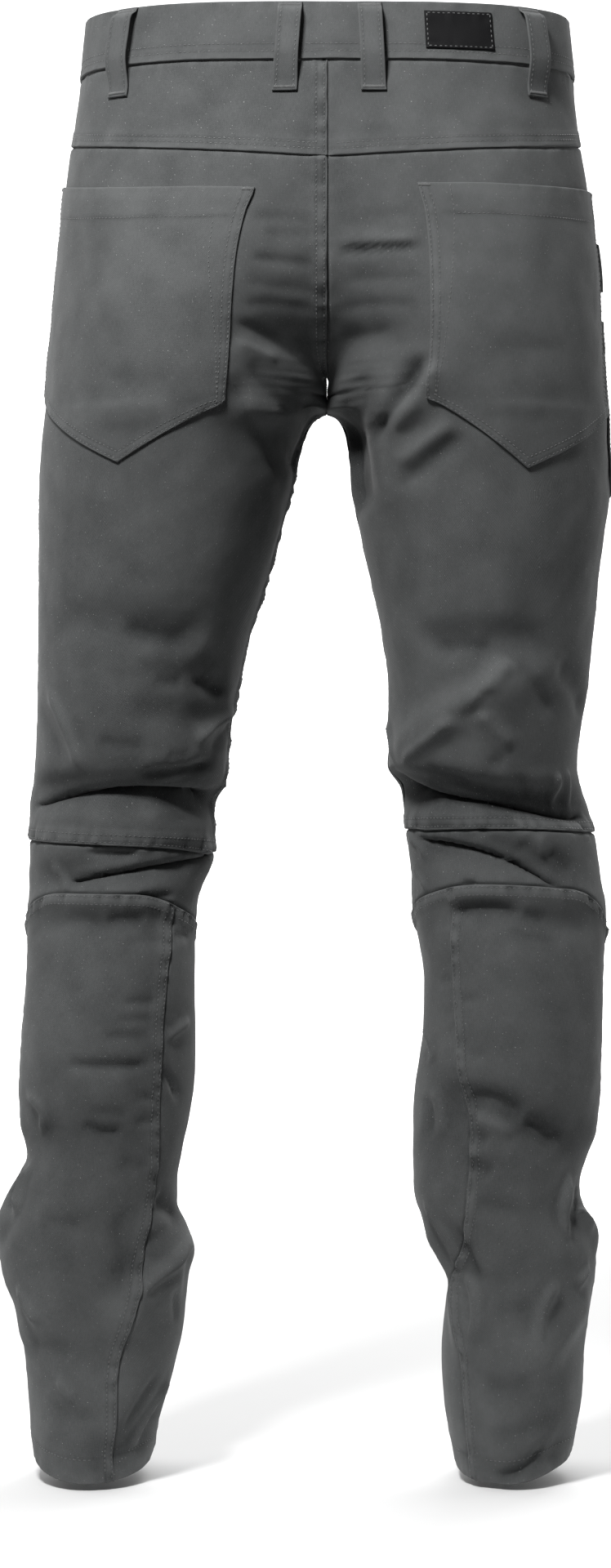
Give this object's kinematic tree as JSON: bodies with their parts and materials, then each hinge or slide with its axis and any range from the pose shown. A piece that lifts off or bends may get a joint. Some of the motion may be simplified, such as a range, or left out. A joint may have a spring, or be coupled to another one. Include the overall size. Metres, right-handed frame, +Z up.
{
  "type": "motorcycle trousers",
  "caption": "Worn-form riding trousers of grey cotton cloth, hollow, with yoke, patch pockets, belt loops and seamed knees.",
  "frame": {"origin": "centre of the waist opening, halfway up the waistband, where the wearer holds the trousers", "axes": "+Z up to the waist, -Y to the front of the garment, +X to the wearer's left"},
  "size_m": [0.4285, 0.2417, 1.0079],
  "materials": {
    "cotton_cloth": "mid-grey brushed cotton twill, matt",
    "label_weave": "black woven patch, bare",
    "button_metal": "dark dull shank button"
  },
  "bodies": {
    "root": {"yoke_left": "cotton_cloth", "yoke_right": "cotton_cloth", "back_panel_left": "cotton_cloth", "back_panel_right": "cotton_cloth", "back_pocket_left": "cotton_cloth", "back_pocket_right": "cotton_cloth", "back_knee_left": "cotton_cloth", "back_knee_right": "cotton_cloth", "back_calf_left": "cotton_cloth", "back_calf_right": "cotton_cloth", "front_panel_left": "cotton_cloth", "front_panel_right": "cotton_cloth", "pocket_facing_left": "cotton_cloth", "pocket_facing_right": "cotton_cloth", "front_knee_left": "cotton_cloth", "front_knee_right": "cotton_cloth", "shin_left": "cotton_cloth", "shin_right": "cotton_cloth", "waistband_back": "cotton_cloth", "waistband_front_left": "cotton_cloth", "waistband_front_right": "cotton_cloth", "belt_loop_1": "cotton_cloth", "belt_loop_2": "cotton_cloth", "belt_loop_3": "cotton_cloth", "belt_loop_4": "cotton_cloth", "belt_loop_5": "cotton_cloth", "belt_loop_6": "cotton_cloth", "label_patch": "label_weave", "fly_flap": "cotton_cloth", "thigh_pocket": "cotton_cloth", "waist_button": "button_metal"}
  },
  "joints": []
}
